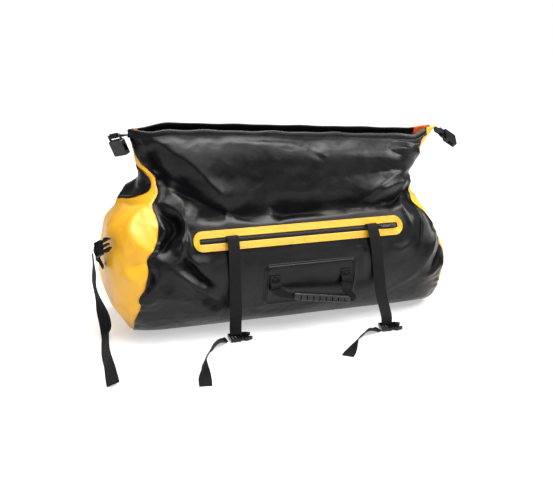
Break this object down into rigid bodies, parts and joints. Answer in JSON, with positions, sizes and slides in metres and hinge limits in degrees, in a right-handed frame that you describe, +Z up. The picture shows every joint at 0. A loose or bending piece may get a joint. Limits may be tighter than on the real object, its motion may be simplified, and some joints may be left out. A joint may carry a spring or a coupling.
{
  "type": "roll-top tail bag",
  "caption": "Roll-top motorcycle tail bag: a tarpaulin barrel with a flat base, zipped front pocket, carry handle, yellow ends, and webbing straps with side-release buckles.",
  "frame": {"origin": "middle of the flat base, on its underside", "axes": "+X along the bag to its right end seen from the front, +Y to the rear, +Z up through the mouth; the pocket and handle face -Y"},
  "size_m": [0.8574, 0.6495, 0.4333],
  "materials": {
    "tarpaulin_black": "semi-gloss coated tarpaulin with welded seams",
    "tarpaulin_base": "heavier coated tarpaulin, satin",
    "tarpaulin_yellow": "semi-gloss coated tarpaulin",
    "mouth_strip": "stiff strip welded into the hem",
    "corner_tape": "flat tape",
    "webbing": "ribbed flat webbing",
    "buckle_plastic": "satin moulded plastic",
    "grip_plastic": "soft moulded grip with ribs",
    "zip_coil": "woven tape with a moulded coil",
    "pouch_lining": "coated lining",
    "zip_metal": "dark cast metal"
  },
  "bodies": {
    "bag": {"base_panel": "tarpaulin_base", "front_panel": "tarpaulin_black", "rear_panel": "tarpaulin_black", "end_panel_left": "tarpaulin_yellow", "end_panel_right": "tarpaulin_yellow", "zip_surround": "tarpaulin_yellow", "zip_coil": "zip_coil", "pocket_pouch": "pouch_lining", "handle_patch": "tarpaulin_black", "handle_anchor_left": "webbing", "handle_anchor_right": "webbing", "end_tab_left": "webbing", "end_tab_right": "webbing", "end_adjuster_left": "buckle_plastic", "end_adjuster_right": "buckle_plastic", "rear_tab_left": "webbing", "rear_tab_right": "webbing"},
    "slider": {"zip_slider": "zip_metal"},
    "pull": {"zip_pull": "zip_metal"},
    "handle": {"handle_strap": "webbing", "handle_grip": "grip_plastic"},
    "mouth": {"neck_front": "tarpaulin_black", "neck_rear": "tarpaulin_black", "gusset_left": "tarpaulin_yellow", "gusset_right": "tarpaulin_yellow", "mouth_strip_front": "mouth_strip", "mouth_strip_rear": "mouth_strip", "corner_loop_left": "webbing", "corner_loop_right": "webbing", "corner_tape_left": "corner_tape", "corner_tape_right": "corner_tape"},
    "corner_socket_left": {"corner_buckle_left": "buckle_plastic"},
    "corner_socket_right": {"corner_buckle_right": "buckle_plastic"},
    "closure_strap_left": {"front_strap_left": "webbing"},
    "closure_strap_right": {"front_strap_right": "webbing"},
    "closure_plug_left": {"front_buckle_left": "buckle_plastic", "front_tail_left": "webbing"},
    "closure_plug_right": {"front_buckle_right": "buckle_plastic", "front_tail_right": "webbing"},
    "side_strap_left": {"end_strap_left": "webbing"},
    "side_strap_right": {"end_strap_right": "webbing"},
    "side_plug_left": {"end_buckle_left": "buckle_plastic"},
    "side_plug_right": {"end_buckle_right": "buckle_plastic"},
    "rear_socket_left": {"rear_buckle_left": "buckle_plastic"},
    "rear_socket_right": {"rear_buckle_right": "buckle_plastic"}
  },
  "joints": [
    {"name": "zip_slide", "type": "slide", "parent": "bag", "child": "slider", "axis": [1, 0, 0], "range_m": [-0.41, 0]},
    {"name": "zip_pull_flip", "type": "hinge", "parent": "slider", "child": "pull", "pos_m": [0.196, -0.13788, 0.2138], "axis": [0, 0.4605, 0.8877], "range_deg": [0, 170]},
    {"name": "handle_swing", "type": "hinge", "parent": "bag", "child": "handle", "pos_m": [0, -0.15352, 0.11], "axis": [-1, 0, 0], "range_deg": [0, 120]},
    {"name": "mouth_fold", "type": "hinge", "parent": "bag", "child": "mouth", "pos_m": [0, 0, 0.3466], "axis": [0.9989, 0, -0.0469], "range_deg": [-75, 75], "stiffness_Nm_per_rad": 0.4, "deforming": ["neck_front", "neck_rear", "gusset_left", "gusset_right"]},
    {"name": "corner_socket_left_swing", "type": "hinge", "parent": "mouth", "child": "corner_socket_left", "pos_m": [-0.36891, -0.01833, 0.41622], "axis": [-0.5851, 0.7787, -0.2265], "range_deg": [0, 150]},
    {"name": "corner_socket_right_swing", "type": "hinge", "parent": "mouth", "child": "corner_socket_right", "pos_m": [0.37194, -0.00181, 0.38313], "axis": [0.2956, 0.8374, 0.4598], "range_deg": [-60, 75]},
    {"name": "closure_strap_left_swing", "type": "hinge", "parent": "bag", "child": "closure_strap_left", "pos_m": [-0.159, -0.13533, 0.2198], "axis": [-1, 0, 0], "range_deg": [0, 120]},
    {"name": "closure_strap_right_swing", "type": "hinge", "parent": "bag", "child": "closure_strap_right", "pos_m": [0.146, -0.13532, 0.2198], "axis": [-1, 0, 0], "range_deg": [0, 120]},
    {"name": "closure_plug_left_swing", "type": "hinge", "parent": "closure_strap_left", "child": "closure_plug_left", "pos_m": [-0.158, -0.15, 0.0058], "axis": [-1, 0, 0], "range_deg": [0, 45]},
    {"name": "closure_plug_right_swing", "type": "hinge", "parent": "closure_strap_right", "child": "closure_plug_right", "pos_m": [0.163, -0.192, 0.0058], "axis": [-1, 0, 0], "range_deg": [0, 45]},
    {"name": "side_strap_left_swing", "type": "hinge", "parent": "bag", "child": "side_strap_left", "pos_m": [-0.4288, -0.046, 0.18278], "axis": [0.1386, 0.9903, 0], "range_deg": [0, 100]},
    {"name": "side_strap_right_swing", "type": "hinge", "parent": "bag", "child": "side_strap_right", "pos_m": [0.36918, 0.075, 0.17678], "axis": [-0.2516, -0.9678, 0], "range_deg": [0, 100]},
    {"name": "side_plug_left_swing", "type": "hinge", "parent": "bag", "child": "side_plug_left", "pos_m": [-0.4217, -0.0685, 0.19682], "axis": [-0.0056, -0.5797, -0.8148], "range_deg": [0, 50]},
    {"name": "side_plug_right_swing", "type": "hinge", "parent": "bag", "child": "side_plug_right", "pos_m": [0.36208, 0.0975, 0.19082], "axis": [0.5953, -0.0826, 0.7992], "range_deg": [0, 50]},
    {"name": "rear_socket_left_swing", "type": "hinge", "parent": "bag", "child": "rear_socket_left", "pos_m": [-0.158, 0.158, 0.16], "axis": [1, 0, 0], "range_deg": [0, 150]},
    {"name": "rear_socket_right_swing", "type": "hinge", "parent": "bag", "child": "rear_socket_right", "pos_m": [0.158, 0.158, 0.16], "axis": [1, 0, 0], "range_deg": [0, 150]}
  ]
}
